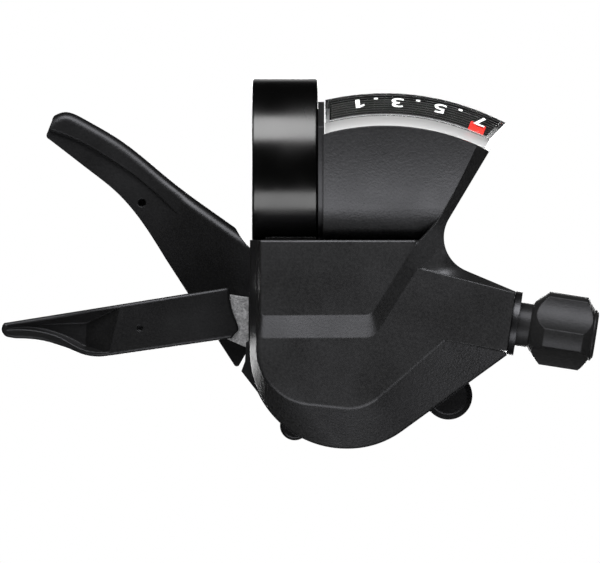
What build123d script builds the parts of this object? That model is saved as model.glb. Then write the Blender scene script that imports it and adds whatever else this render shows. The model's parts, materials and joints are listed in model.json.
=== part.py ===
"""Right-hand trigger gear shifter with a gear display, for a 22.2 mm bar.

X runs along the bar, Z is up in the picture and Y points away from the viewer.
The origin is the centre of the bar clamp. Depths are distances in front of the
bar axis, so depth = -Y. All sizes are in millimetres.
"""
import math
import os

from build123d import *

# Bar clamp
BAR_DIA = 22.2
BAND_WALL = 3.4
BAND_WIDTH = 11.0
BAND_GAP = 0.3
BAR_GAP = 0.4
CLAMP_SLIT = 1.5
LUG_REACH = 21.9
LUG_HEIGHT = 5.2
BOLT_DEPTH = -17.7
BOLT_R = 2.0
FOOT_X = (-3.4, 5.3)
FOOT_SCREWS = [(-1.3, -16.6), (3.1, -16.6)]

# Gear train: axle, teeth and display centre
AXLE = (10.3, -31.0)
AXLE_R = 2.5
TEETH = 20
GEARS = 7
STEP_DEG = 360 / TEETH
WIND_DEG = STEP_DEG * (GEARS - 1)
DIAL = (16.6, -31.35)
DIAL_SWEEP = 28.0
FLAG_DEG = 90 - 22.24
DIAL_RATIO = DIAL_SWEEP / WIND_DEG
FOLLOWER_REACH = 10.0
FOLLOWER_DEG = 126.0
FOLLOWER_R = 0.7
DIAL_PIN_R = 1.2

# Window of the display: inner radius, cone radii and its outward normal as (radius, depth)
LENS_IN = 37.8
CONE_RADII = (39.6, 43.3)
CONE_N = (0.843, 0.538)
DIAL_IN = 1.55
BACKING = 10.8

# Cable line: centre of the tube end, tilt and depth
TUBE_END = (37.6, -26.3)
CABLE_TILT = 8.8
CABLE_DEPTH = 5.4
CABLE_R = 0.6
CABLE_HOLE_R = 1.2

# Cable tube and its flange, port opposite it, and the adjuster; runs are measured from the tube end
TUBE_R = 4.3
TUBE_GAP = 0.2
TUBE_BACK = -11.0
FLANGE_OUT = 5.38
FLANGE = 1.27
PORT_R = 2.2
NECK_R = 3.65
STEM_R = 2.5
STEM_END = -9.0
INSERT_R = 3.4
INSERT_END = -6.0
RING = (-3.0, -1.8)
KNOB_R = 6.15
KNOB_START = FLANGE + 4.47
KNOB_END = FLANGE + 11.3
COLLAR_R = 4.3
SOCKET_R = 2.6
SOCKET = 6.0
ADJUSTER_END = FLANGE + 13.15
FLUTES = 4
FLUTE_TURN = 60.2
FLUTE_R = 8.0
FLUTE_FLOOR = 4.67

# Depth stack, each as (back, front)
PANEL_TOP = 14.5
FACE_TOP = 12.5
SKIRT_FOOT = 7.0
PARTING = 1.0
CASE_RIM = 0.25
CASE_RIM_TOP = -21.2
POD_TOP = 19.9
POD_HIGH = 15.0
POD_ARCS = (6.1, 59.0, 11.5)
POD_TILTS = (10.5, 23.5, 75.0)
LENS_WALL = 0.6
LENS_SIDE = 0.8
LENS_SLANT = 0.9
LENS_BACK = 11.5
CHEEK_SET = 1.3
CHEEK_TOP = 10.5
COVER_WALL = 1.3
ARM = (9.75, 10.45)
ARM_LOW = (8.55, 9.25)
BASE = (8.2, 9.4)
FOOT = (6.0, BASE[0])
SPOOL = (2.4, 7.85)
RATCHET = (0.9, 2.4)
PAWL = (1.05, 2.25)
CARRIER = (-0.5, 0.6)
FLOOR = (-2.6, -0.8)
BACK_PLATE = (-3.4, -2.6)
RELEASE = (-5.2, -3.7)
MAIN = (-9.4, -7.4)
CAP = (-14.2, -13.4)
NUT = (-17.2, -14.2)

# Running fits
FIT = 0.05
RUN = 0.1
SLEEVE_R = 4.0
BUSH_R = 5.4

# Screw posts that join cover, base plate and rear case
POSTS = [(-2.2, -23.0), (9.0, -15.9), (24.5, -29.5)]
POST_R = 1.65
SCREW_R = 1.1
HEAD_R = 2.0
BIG_BOSS = (27.3, -38.5)
SMALL_BOSS = (1.6, -43.5)

# Ratchet and pawls
TIP_R = 10.0
TOOTH = 1.4
ROOT_R = TIP_R - TOOTH
FLANGE_R = TIP_R + 0.4
WIND_PIN_REACH = TIP_R + 2.2
WIND_PIN_DEG = 200.0
HOLD_PIN_REACH = TIP_R + 3.0
HOLD_PIN_DEG = -25.0
NOSE_GAP = 0.3
PAWL_PIN_R = 0.8
DOG_REACH = 5.6
DOG_R = 0.9
DOG_DEGS = (160, 340)
NIPPLE_DEG = 118

# Strip down the right side of the pod: inner and outer edge as (x, z, depth)
RIBBON_IN = [
    (34.2, 7.2, 20.0), (31.7, 2.7, 19.1), (29.2, -2.4, 17.6), (26.85, -6.8, 15.9),
    (25.6, -8.85, 15.05), (24.0, -10.9, 14.6), (22.8, -12.15, 14.5), (21.7, -13.4, 14.45),
    (19.5, -16.8, 14.4),
]
RIBBON_OUT = [
    (38.2, 8.2, 15.6), (35.3, 3.2, 15.4), (32.4, -2.0, 14.9), (29.4, -6.9, 13.8),
    (28.0, -9.65, 13.1), (27.6, -11.85, 12.4), (27.2, -13.85, 11.6), (25.35, -15.9, 11.75),
    (23.3, -17.9, 11.55),
]
RIBBON_DEEP = 6.0
RIBBON_LAP = 0.04
RIBBON_SIDE = (0.05, 0.95)

# Hollow of the neck between the ridge, the cable boss and the silhouette, as (x, z, depth)
NECK_IN = [(21.8, -17.05, 12.35), (38.6, -21.38, 12.35)]
NECK_OUT = [
    (26.6, -12.2, 12.4), (27.8, -14.0, 11.85), (29.3, -16.1, 9.9), (31.1, -17.3, 8.9),
    (34.2, -18.5, 8.4), (39.0, -20.3, 8.1),
]

# Rounded edges
PANEL_EDGE_R = 0.35
FACE_EDGE_R = 0.8
LEVER_CORNER_R = 0.55
LEVER_EDGE_R = 0.5
RIB_EDGE_R = 1.5
RIDGE_R = 0.25

# Lever pads: depth lines of the paddle's pocket as (x, depth) pairs, dimple and blind hole
SCOOP_RIM = ((-27, -2.9), (-48, -7.5))
SCOOP_WALL = ((-27, -3.9), (-48, -7.9))
SCOOP_FLOOR = ((-33, -7.1), (-48, -8.1))
DIMPLE = (-24.25, -27.2)
DIMPLE_R = 0.5
DIMPLE_FLOOR = 3.6
MAIN_HOLE = (-24.0, -6.2)
MAIN_HOLE_R = 0.68
MAIN_HOLE_FLOOR = 14.8


def polar(centre, reach, deg):
    """Point at a reach and angle from a centre, in the X-Z plane."""
    angle = math.radians(deg)
    return (centre[0] + reach * math.cos(angle), centre[1] + reach * math.sin(angle))


def outline(*corners):
    """Face through (x, z) corners, each with an optional corner radius."""
    points = [corner[:2] for corner in corners]
    radii = [corner[2] if len(corner) > 2 else 0 for corner in corners]
    return make_face(FilletPolyline(*points, radius=radii, close=True))


def path_face(curve, corners):
    """Face closed by straight lines from the end of a smooth curve back to its start."""
    path = [curve[-1], *corners, curve[0]]
    return make_face([Spline(*curve), *[Line(a, b) for a, b in zip(path, path[1:])]])


def at_depth(depth):
    return Plane.XZ.offset(depth)


def slab(sketch, back, front):
    """Extrude an X-Z sketch between two depths."""
    return extrude(at_depth(back) * sketch, amount=front - back)


def disc(centre, radius, back, front):
    return slab(Pos(*centre) * Circle(radius), back, front)


def tube(centre, outer, inner, back, front):
    return disc(centre, outer, back, front) - disc(centre, inner, back - 1, front + 1)


def box(x0, x1, z0, z1, back, front):
    return slab(outline((x0, z0), (x1, z0), (x1, z1), (x0, z1)), back, front)


def side_plane(x):
    """Sketch plane across the bar: first axis Z, second axis depth."""
    return Plane(origin=(x, 0, 0), x_dir=(0, 0, 1), z_dir=(1, 0, 0))


def along_bar(sketch, x0, x1):
    """Extrude a (Z, depth) sketch along the bar."""
    return extrude(side_plane(x0) * sketch, amount=x1 - x0)


def turned(centre, profile):
    """Turn a (radius, depth) profile about the Y line through a centre."""
    origin = (centre[0], 0, centre[1])
    plane = Plane(origin=origin, x_dir=(0, 0, 1), z_dir=(1, 0, 0))
    face = make_face(Polyline(*profile, close=True))
    return revolve(plane * face, axis=Axis(origin, (0, 1, 0)))


def cut_plane(a, b, c):
    """Plane through three (x, z, depth) points, facing +X."""
    pa, pb, pc = [Vector(p[0], -p[2], p[1]) for p in (a, b, c)]
    normal = (pb - pa).cross(pc - pa).normalized()
    if normal.X < 0:
        normal = normal * -1
    return Plane(origin=pa, z_dir=normal)


def below(part, plane):
    return split(part, bisect_by=plane, keep=Keep.BOTTOM)


def coil(centre, radius, wire, turns, back, front):
    """Spring wound about a Y line; the wire stays between the two depths."""
    rise = front - back - 2 * wire
    path = Helix(pitch=rise / turns, height=rise, radius=radius)
    start = path @ 0
    section = Plane(origin=start, z_dir=path % 0) * Circle(wire)
    spring = sweep(section, path=path)
    place = Plane(origin=(centre[0], -(back + wire), centre[1]), x_dir=(1, 0, 0), z_dir=(0, -1, 0))
    return place * spring


WIND_PIN = polar(AXLE, WIND_PIN_REACH, WIND_PIN_DEG)
HOLD_PIN = polar(AXLE, HOLD_PIN_REACH, HOLD_PIN_DEG)
GROOVE_FLOOR = SPOOL[1] - 1.1
BAR_R = BAR_DIA / 2
BAND_R = BAR_R + BAND_WALL
CASE_LOW = AXLE[1] - 16.1
CABLE_DIR = (math.cos(math.radians(CABLE_TILT)), -math.sin(math.radians(CABLE_TILT)))
CABLE_REACH = abs((AXLE[0] - TUBE_END[0]) * CABLE_DIR[1] - (AXLE[1] - TUBE_END[1]) * CABLE_DIR[0])
CABLE_PLANE = Plane(
    origin=(TUBE_END[0], -CABLE_DEPTH, TUBE_END[1]),
    x_dir=(0, -1, 0),
    z_dir=(CABLE_DIR[0], 0, CABLE_DIR[1]),
)


def on_cable(profile):
    """Turn a (radius, run) profile about the cable line; run 0 is the case end."""
    face = make_face(Polyline(*profile, close=True))
    turned_part = revolve(Plane.XZ * face, axis=Axis.Z)
    return CABLE_PLANE * turned_part


def rod(radius, start, end):
    return on_cable([(0, start), (radius, start), (radius, end), (0, end)])


# Outlines of the cover
NECK = (23.78, -14.9)
POD_LEFT = BAND_WIDTH / 2 + 0.83
CHEEK_LEFT = BAND_WIDTH / 2
LEFT = -5.85
FOOT_OUT = 0.3
TOP = -12.5
silhouette = outline(
    (LEFT, TOP), (LEFT, CASE_LOW, 16.05), (15.43, CASE_LOW, 15.0), (36.83, -31.58),
    (38.42, -21.08), (NECK[0], NECK[1], 6.0), (41.5, 14.8), (POD_LEFT, 14.8), (POD_LEFT, TOP),
)
body_zone = outline((-20, -60), (60, -60), (60, -11.9), (-20, -11.9))
body = silhouette & body_zone
pod_disc = Pos(*DIAL) * Circle(LENS_IN)
skirt_foot = outline(
    (LEFT - FOOT_OUT, TOP), (LEFT - FOOT_OUT, CASE_LOW - FOOT_OUT, 16.05),
    (15.43, CASE_LOW - FOOT_OUT, 15.0), (40.0, -29.28 - FOOT_OUT),
    (40.0, -20.9), (26.0, -16.6), (25.0, -13.8), (25.0, TOP),
)
face_edge = outline(
    (-4.65, TOP), (-4.65, -38.9, 9.3), (13.13, -40.83, 7.5), (30.5, -25.66),
    (30.5, -19.29), (22.4, -17.2), (21.5, -14.5), (21.5, TOP),
)
boss_low = outline((20, -29), (26.45, -29.2), (37.0, -31.4), (38.42, -21.08), (25.6, -15.67), (20, -15))
boss_top = outline((20, -28), (26.45, -29.2), (37.2, -31.08), (38.3, -21.3), (22.4, -17.2), (20, -16.6))
panel_foot = outline(
    (-4.58, TOP), (-4.58, -29.4, 1.3), (14.95, -29.33, 3.2), (22.5, -17.33), (24.6, -13.6, 1.0),
    (23.4, TOP),
)
panel_edge = outline(
    (-4.15, TOP), (-4.15, -25.1, 1.0), (14.3, -24.95, 1.4), (17.9, -19.2), (21.75, -12.9, 0.3),
    (21.4, TOP),
)
RIGHT_CUT = cut_plane((31.67, 2.67, 18.2), (26.4, -6.83, 16.94), (34.33, 2.83, 13.5))
LOW_CUT = cut_plane((26.4, -6.83, 16.94), (21.5, -13.17, 12.2), (26.6, -11.9, 12.35))


def pod_profile(inset, floor):
    """Side profile of the pod: level under the window, then a wide and a tight arc down to the panel."""
    level, wide, tight = POD_ARCS
    start, bend, end = POD_TILTS

    def on_arc(centre, radius, deg):
        angle = math.radians(deg)
        return (centre[0] - radius * math.sin(angle), centre[1] + radius * math.cos(angle))

    wide_centre = on_arc((level, POD_TOP), -wide, start)
    tight_centre = on_arc(wide_centre, wide - tight, bend)
    high = [on_arc(wide_centre, wide - inset, deg) for deg in (start, (start + bend) / 2, bend)]
    foot = [on_arc(tight_centre, tight - inset, deg) for deg in (bend, (bend + end) / 2, end)]
    edges = [
        Line((POD_HIGH, floor), (POD_HIGH, high[0][1])),
        Line((POD_HIGH, high[0][1]), high[0]),
        ThreePointArc(*high),
        ThreePointArc(*foot),
        Line(foot[2], (foot[2][0], floor)),
        Line((foot[2][0], floor), (POD_HIGH, floor)),
    ]
    return make_face(edges)


def space_curve(points):
    """Smooth curve through (x, z, depth) points."""
    return Spline(*[(x, -depth, z) for x, z, depth in points])


def make_ribbon():
    """Slanted strip that runs down the right side of the pod into the panel's right bevel."""
    strip = Face.make_surface_from_curves(space_curve(RIBBON_IN), space_curve(RIBBON_OUT))
    ribbon = extrude(strip, amount=RIBBON_DEEP, dir=(0, 1, 0))
    low, lap = [], []
    for number, (x, z, depth) in enumerate(RIBBON_IN):
        share = number / (len(RIBBON_IN) - 1)
        wide = RIBBON_SIDE[0] + (RIBBON_SIDE[1] - RIBBON_SIDE[0]) * share
        low.append((x - 0.8 * wide, z - 0.6 * wide, depth - 0.12 - 0.45 * wide))
        lap.append((x + 2 * RIBBON_LAP, z, depth - 0.15))
    side = Face.make_surface_from_curves(space_curve(low), space_curve(lap))
    ribbon += extrude(side, amount=RIBBON_DEEP - 1, dir=(0, 1, 0))
    return ribbon & slab(silhouette, PARTING, 30)


def make_neck():
    """Hollow that falls from the ridge and the cable boss to the silhouette."""
    surface = Face.make_surface_from_curves(space_curve(NECK_IN), space_curve(NECK_OUT))
    return extrude(surface, amount=RIBBON_DEEP, dir=(0, 1, 0)) & slab(body, PARTING, 30)


pod_front = path_face(
    [(x + RIBBON_LAP, z) for x, z, depth in RIBBON_IN],
    [(RIBBON_IN[-1][0] + RIBBON_LAP, -18.0), (POD_LEFT, -18.0), (POD_LEFT, RIBBON_IN[0][1])],
)


def loft_up(low, low_depth, high, high_depth):
    return loft([at_depth(low_depth) * low, at_depth(high_depth) * high], ruled=True)


def make_cheek():
    """Low wall that closes the gap between the pod, the window's left end and the band."""
    wall = along_bar(pod_profile(CHEEK_SET, SKIRT_FOOT), CHEEK_LEFT, POD_LEFT + 0.2)
    window_side = make_face(Polyline(
        (-14, 0), (CHEEK_TOP, 0), (CHEEK_TOP, LENS_BACK + 0.6), (CHEEK_TOP - 4.2, POD_TOP - CHEEK_SET),
        (-14, POD_TOP - CHEEK_SET), close=True,
    ))
    wall = wall & along_bar(window_side, CHEEK_LEFT - 1, POD_LEFT + 1)
    return wall + box(CHEEK_LEFT, POD_LEFT + 0.2, TOP - 0.5, TOP + 1.5, SKIRT_FOOT - 1, SKIRT_FOOT + 1)


def front_rim(part):
    """Edges round the face that looks at the viewer."""
    return part.faces().sort_by(Axis.Y)[0].edges()


def below_neck(edge):
    return edge.center().X < NECK[0] and edge.center().Z < NECK[1] - 4


def inset(sketch, amount):
    return offset(sketch, amount=-amount, kind=Kind.INTERSECTION)


def bar_hole(radius, x0, x1):
    return Plane(origin=(x0, 0, 0), z_dir=(1, 0, 0)) * Cylinder(
        radius, x1 - x0, align=(Align.CENTER, Align.CENTER, Align.MIN)
    )


BAR_CLEAR = bar_hole(BAR_R + BAR_GAP, -60, 70)
BAND_CLEAR = bar_hole(BAND_R + BAND_GAP, -BAND_WIDTH / 2 - 0.6, BAND_WIDTH / 2)


def make_upper_cover():
    lower = slab(body, PARTING, SKIRT_FOOT)
    skirt = loft_up(skirt_foot, SKIRT_FOOT, face_edge, FACE_TOP)
    skirt = fillet(front_rim(skirt).filter_by(below_neck), FACE_EDGE_R) & slab(body, 0, 30)
    boss = loft_up(boss_low, SKIRT_FOOT - 1, boss_top, FACE_TOP) & slab(body, 0, 30)
    panel = loft_up(panel_foot, FACE_TOP - 0.3, panel_edge, PANEL_TOP)
    panel = fillet(front_rim(panel), PANEL_EDGE_R)
    pod = along_bar(pod_profile(0, SKIRT_FOOT), POD_LEFT, 45) & slab(pod_front & silhouette, 0, 30)
    pod = (pod + make_ribbon()) & slab(pod_disc, 0, 30)
    pod += make_cheek()
    shell = lower + skirt + boss + make_neck() + panel + pod

    room = slab(inset(body, COVER_WALL), PARTING - 1, SKIRT_FOOT - 0.2)
    ceiling = FACE_TOP - COVER_WALL
    room += loft_up(inset(skirt_foot, 1.75), SKIRT_FOOT - 0.4, inset(face_edge, 1.4), ceiling)
    room = room & slab(inset(body, COVER_WALL), -5, 30)
    room += loft_up(inset(boss_low, COVER_WALL), SKIRT_FOOT - 1.5, inset(boss_top, COVER_WALL), ceiling)
    raised = PANEL_TOP - COVER_WALL
    room += loft_up(inset(panel_foot, 1.4), FACE_TOP - 1.8, inset(panel_edge, 1.2), raised)
    pod_room = along_bar(pod_profile(1.2, SKIRT_FOOT - 1), POD_LEFT + 1.0, 45)
    right_in = RIGHT_CUT.offset(-1.1)
    low_in = LOW_CUT.offset(-1.0)
    pod_plan = outline(
        (POD_LEFT + 1.0, -14.5), (21.2, -14.5), (24.2, -13.2), (25.6, -11.9), (25.9, -9.8),
        (34.4, 4.9), (40, 15), (POD_LEFT + 1.0, 15),
    )
    pod_room = below(below(pod_room, right_in), low_in) & slab(pod_plan, 0, 30)
    posts = disc(POSTS[0], POST_R, BASE[1], PANEL_TOP - 0.6)
    posts += disc(POSTS[1], POST_R, BASE[1], PANEL_TOP - 0.6)
    posts += disc(POSTS[2], POST_R, BASE[1], FACE_TOP - 0.6) & shell
    cover = shell - room - pod_room + posts
    for post in POSTS:
        cover -= disc(post, SCREW_R + FIT, BASE[1] - 1, BASE[1] + 2.6)
    pod_back = box(POD_LEFT - 1, 60, -3, 30, -5, 10.7)
    cover = cover - pod_back - BAR_CLEAR - BAND_CLEAR
    cover -= rod(TUBE_R + TUBE_GAP, -16, 5)
    cover -= box(FOOT_X[0] - 0.2, FOOT_X[1] + 0.2, -16, -11, FOOT[0] - 0.2, FOOT[1] + 0.2)
    cover -= slab(ARM_GATE, ARM_LOW[0] - 1, ARM_LOW[1] + 0.4)
    cover -= PORT_HOLE
    return cover


# Way for the indicator arm from the case into the pod
ARM_GATE = outline(
    (POD_LEFT + 1.0, -15), (15, -19), (22.6, -19), (23.9, -15), (25.3, -12.6), (25.3, -11.5),
    (POD_LEFT + 1.0, -11.5),
)

# Hole for feeding the inner cable, opposite the tube
PORT_Z = TUBE_END[1] + (TUBE_END[0] - LEFT) * math.tan(math.radians(CABLE_TILT))
PORT_PLANE = Plane(origin=(LEFT, -CABLE_DEPTH, PORT_Z), z_dir=(1, 0, 0))
PORT_HOLE = PORT_PLANE * Cylinder(PORT_R + FIT, 6)


def make_lower_case():
    rim_zone = outline((-20, -60), (60, -60), (60, CASE_RIM_TOP), (-20, CASE_RIM_TOP))
    rim = offset(body, amount=CASE_RIM, kind=Kind.INTERSECTION) & rim_zone
    case = slab(body, FLOOR[0], PARTING) + slab(rim, FLOOR[0], PARTING)
    tab = outline(
        (-7.3, -34.4), (-3.6, -39.2), (0.4, -43.2), (3, -41), (-5, -28.5), (-6.5, -29.6), (-6.7, -32.8),
    )
    case += slab(tab, FLOOR[0], PARTING)
    big = disc(BIG_BOSS, 4.0, FLOOR[0], PARTING - FIT)
    case += chamfer(big.edges().group_by(Axis.Y)[0], 0.9)
    small = disc(SMALL_BOSS, 2.45, FLOOR[0], PARTING - FIT)
    case += chamfer(small.edges().group_by(Axis.Y)[0], 0.4)
    case -= slab(inset(body, COVER_WALL), FLOOR[1], PARTING + 2)
    case += rod(TUBE_R, TUBE_BACK, 0.5)
    case += rod(FLANGE_OUT, 0.12, FLANGE)
    rib = CABLE_PLANE * Pos(-4.2, 0, -6.2) * Box(4.4, 4.6, 9.4)
    case += rib & slab(body, FLOOR[0], CABLE_DEPTH)
    for post in POSTS:
        case += disc(post, POST_R, FLOOR[0], BASE[0])
    for post in POSTS:
        case -= disc(post, SCREW_R + FIT, FLOOR[0] - 1, BASE[0] + 1)
        case -= disc(post, HEAD_R + RUN, FLOOR[0] - 1, FLOOR[1] - 0.2)
    case -= rod(NECK_R + RUN, INSERT_END, 5)
    case -= rod(INSERT_R, STEM_END - 1, INSERT_END + 0.1)
    case -= rod(CABLE_HOLE_R, -20, STEM_END)
    case -= KEY_SLOT
    case -= disc(BIG_BOSS, SCREW_R + FIT, FLOOR[0] - 1, -0.2)
    case -= disc(AXLE, BUSH_R, FLOOR[0] - 1, FLOOR[1] + 1)
    case -= disc(HOLD_PIN, PAWL_PIN_R, FLOOR[0] + 0.4, FLOOR[1] + 1)
    return case - BAND_CLEAR


KEY_SLOT = CABLE_PLANE * Pos(-NECK_R - 0.2, 0, INSERT_END / 2) * Box(1.0, 1.3, -INSERT_END)


def make_adjuster():
    """Barrel adjuster: stem, neck, fluted knob and the socket for the casing end."""
    knob = on_cable([
        (0, STEM_END), (STEM_R - FIT, STEM_END), (STEM_R - FIT, RING[1] + RUN), (NECK_R, RING[1] + RUN),
        (NECK_R, FLANGE + 2.0), (NECK_R + 0.5, FLANGE + 2.3), (KNOB_R, KNOB_START),
        (KNOB_R, KNOB_END - 0.3), (KNOB_R - 0.3, KNOB_END), (COLLAR_R + 0.2, KNOB_END + 1.1),
        (COLLAR_R, KNOB_END + 1.25), (COLLAR_R, ADJUSTER_END - 0.4), (COLLAR_R - 0.4, ADJUSTER_END),
        (0, ADJUSTER_END),
    ])
    flute = Pos(FLUTE_FLOOR + FLUTE_R, 0, KNOB_START) * Cylinder(FLUTE_R, 4 * FLUTE_R)
    for number in range(FLUTES):
        knob -= CABLE_PLANE * Rot(0, 0, FLUTE_TURN + 360 / FLUTES * number) * flute
    knob -= rod(SOCKET_R, ADJUSTER_END - SOCKET, ADJUSTER_END + 1)
    knob -= rod(CABLE_HOLE_R, -12, ADJUSTER_END)
    return knob


def make_click_ring():
    ring = on_cable([
        (STEM_R + RUN, RING[0]), (NECK_R - 0.05, RING[0]),
        (NECK_R - 0.05, RING[1]), (STEM_R + RUN, RING[1]),
    ])
    key = CABLE_PLANE * Pos(-NECK_R, 0, (RING[0] + RING[1]) / 2) * Box(0.9, 1.0, RING[1] - RING[0])
    return ring + key


def make_insert():
    return on_cable([
        (STEM_R, STEM_END), (INSERT_R, STEM_END), (INSERT_R, INSERT_END), (STEM_R, INSERT_END),
    ])


def make_adjuster_spring():
    length = RING[0] - INSERT_END - 0.2
    path = Helix(pitch=(length - 0.5) / 3, height=length - 0.5, radius=3.05)
    spring = sweep(Plane(origin=path @ 0, z_dir=path % 0) * Circle(0.22), path=path)
    return CABLE_PLANE * Pos(0, 0, INSERT_END + 0.35) * spring


def make_port_plug():
    plug = PORT_PLANE * Cylinder(PORT_R, 1.9, align=(Align.CENTER, Align.CENTER, Align.MIN))
    slot = PORT_PLANE * Box(0.7, 3.0, 1.6)
    return plug - slot


lens_plan = outline(
    (POD_LEFT + 0.35, -5), (29.6, -5), (37.0, 7.4), (42, 15.8), (POD_LEFT + 0.35, 15.8),
)


CONE = ((CONE_RADII[0], POD_TOP + 0.6), (CONE_RADII[1], POD_TOP - 5.2))
END_CUT = cut_plane(
    (29.6, -5, CONE[1][1]), (42, 15.8, CONE[1][1]),
    (29.6 - 0.859 * LENS_SLANT, -5 + 0.512 * LENS_SLANT, CONE[0][1]),
)


def cone_at(depth_in, depth):
    """Radius of a surface a given distance inside the lens cone, at a depth."""
    (r0, d0), (r1, d1) = CONE
    slope = (r1 - r0) / (d1 - d0)
    return r0 - depth_in * CONE_N[0] + (depth - d0 + depth_in * CONE_N[1]) * slope


def make_lens():
    """Clear window: a cone over the dial, a lip along the pod and a slanted right end."""
    outer = turned(DIAL, [
        (LENS_IN + FIT, LENS_BACK), (LENS_IN + FIT, POD_TOP), CONE[0], CONE[1],
        (CONE[1][0], LENS_BACK),
    ]) & slab(lens_plan, 0, 30)
    lip_back, top, foot = POD_TOP - 0.75, POD_TOP - 0.1, POD_TOP - 5.6
    hollow = turned(DIAL, [
        (LENS_IN - 1, LENS_BACK - 1), (LENS_IN - 1, lip_back), (LENS_IN + 0.6, lip_back),
        (cone_at(LENS_WALL, top), top), (cone_at(LENS_WALL, foot), foot),
        (cone_at(LENS_WALL, foot), LENS_BACK - 1),
    ]) & slab(inset(lens_plan, LENS_SIDE), 0, 30)
    return below(outer, END_CUT) - below(hollow, END_CUT.offset(-LENS_SIDE))


dial_plan = inset(lens_plan, 1.15)


def make_display_base():
    """Saddle over the bar that closes the pod, with the dial and a black backing behind the window."""
    inner = BAR_R + BAR_GAP

    def on_bar(radius, z):
        return (z, math.sqrt(radius**2 - z**2))

    outer = inner + 1
    saddle = make_face([
        ThreePointArc(on_bar(inner, -11.2), on_bar(inner, -8), on_bar(inner, 0)),
        Line((0, inner), (12, inner)),
        Line((12, inner), (12, outer)),
        Line((12, outer), (0, outer)),
        ThreePointArc(on_bar(outer, 0), on_bar(outer, -8), on_bar(outer, -11.6)),
        Line(on_bar(outer, -11.6), on_bar(inner, -11.2)),
    ])
    left = POD_LEFT + 1.15
    plan = outline(
        (left, -11.75), (25.2, -11.75), (25.6, -9.8), (33.6, 3.9), (40, 14.9), (left, 14.9),
    )
    floor = along_bar(saddle, POD_LEFT, 45) & slab(plan & (Pos(*DIAL) * Circle(42.2)), 0, 30)
    dial_in = LENS_IN + 0.2
    top, foot = POD_TOP - 2.3, POD_TOP - 6.0
    dial = turned(DIAL, [
        (dial_in, BACKING), (dial_in, top - 0.3), (cone_at(DIAL_IN, top) - 0.4, top),
        (cone_at(DIAL_IN, top), top), (cone_at(DIAL_IN, foot), foot), (cone_at(DIAL_IN, foot), BACKING),
    ]) & slab(dial_plan, 0, 30) - BAR_CLEAR
    dial = below(dial, END_CUT.offset(-LENS_SIDE - 0.35))
    backing = turned(DIAL, [
        (LENS_IN + RUN, BACKING), (CONE[1][0], BACKING), (CONE[1][0], LENS_BACK - FIT),
        (LENS_IN + RUN, LENS_BACK - FIT),
    ]) & slab(lens_plan, 0, 30)
    return floor + dial + (backing - BAR_CLEAR)


def make_indicator_arm():
    flag = math.radians(FLAG_DEG)
    plane = Plane(
        origin=(DIAL[0], 0, DIAL[1]),
        x_dir=(math.cos(flag), 0, math.sin(flag)),
        z_dir=(math.sin(flag), 0, -math.cos(flag)),
    )
    top = [(0, ARM[1]), (9.7, ARM[1]), (11.4, ARM_LOW[1]), (21.0, ARM_LOW[1])]
    flag_front, flag_back, flag_foot = POD_TOP - 1.45, POD_TOP - 1.85, POD_TOP - 3.25
    top += [(27.5, 13.8), (33.0, 14.6), (36.6, POD_TOP - 2.6), (37.8, POD_TOP - 2.3), (38.6, flag_front)]
    top += [(cone_at(0.95, flag_front), flag_front), (cone_at(0.95, flag_foot), flag_foot)]
    low = [(cone_at(1.2, flag_foot), flag_foot), (cone_at(1.2, flag_back), flag_back)]
    low += [(38.75, flag_back), (38.0, POD_TOP - 2.45), (37.6, POD_TOP - 2.7), (36.8, POD_TOP - 3.0)]
    low += [(33.3, 14.0), (27.6, 13.1), (21.2, ARM_LOW[0]), (11.2, ARM_LOW[0]), (9.5, ARM[0])]
    low += [(0, ARM[0])]
    strip = extrude(plane * make_face(Polyline(*top, *low, close=True)), amount=3, both=True)
    plan = [(0, -1.2), (12, -1.5), (38.6, -1.5), (39.3, -1.33), (45, -1.33)]
    plan += [(45, 1.33), (39.3, 1.33), (38.6, 0.1), (12, 0.1), (0, 1.2)]
    corners = [polar(polar(DIAL, run, FLAG_DEG), side, FLAG_DEG - 90) for run, side in plan]
    arm = strip & slab(make_face(Polyline(*corners, close=True)), 0, 30)
    tail_end = polar(DIAL, FOLLOWER_REACH, FOLLOWER_DEG)
    tail = make_hull((Pos(*DIAL) * Circle(1.9) + Pos(*tail_end) * Circle(1.3)).edges())
    arm += slab(tail, *ARM) + disc(DIAL, 2.5, *ARM)
    arm += disc(tail_end, FOLLOWER_R, GROOVE_FLOOR + 0.25, ARM[1])
    return arm - disc(DIAL, DIAL_PIN_R + RUN, ARM[0] - 1, ARM[1] + 1)


def make_indicator_pin():
    pin = disc(DIAL, DIAL_PIN_R, BASE[0], ARM[1] + RUN)
    return pin + disc(DIAL, 2.0, ARM[1] + RUN, ARM[1] + 0.4)


def follower_path(turn):
    """Where the follower sits on the spool after the spool has turned."""
    point = polar(DIAL, FOLLOWER_REACH, FOLLOWER_DEG + DIAL_RATIO * turn)
    reach = math.dist(point, AXLE)
    angle = math.degrees(math.atan2(point[1] - AXLE[1], point[0] - AXLE[0]))
    return polar(AXLE, reach, angle - turn)


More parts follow.
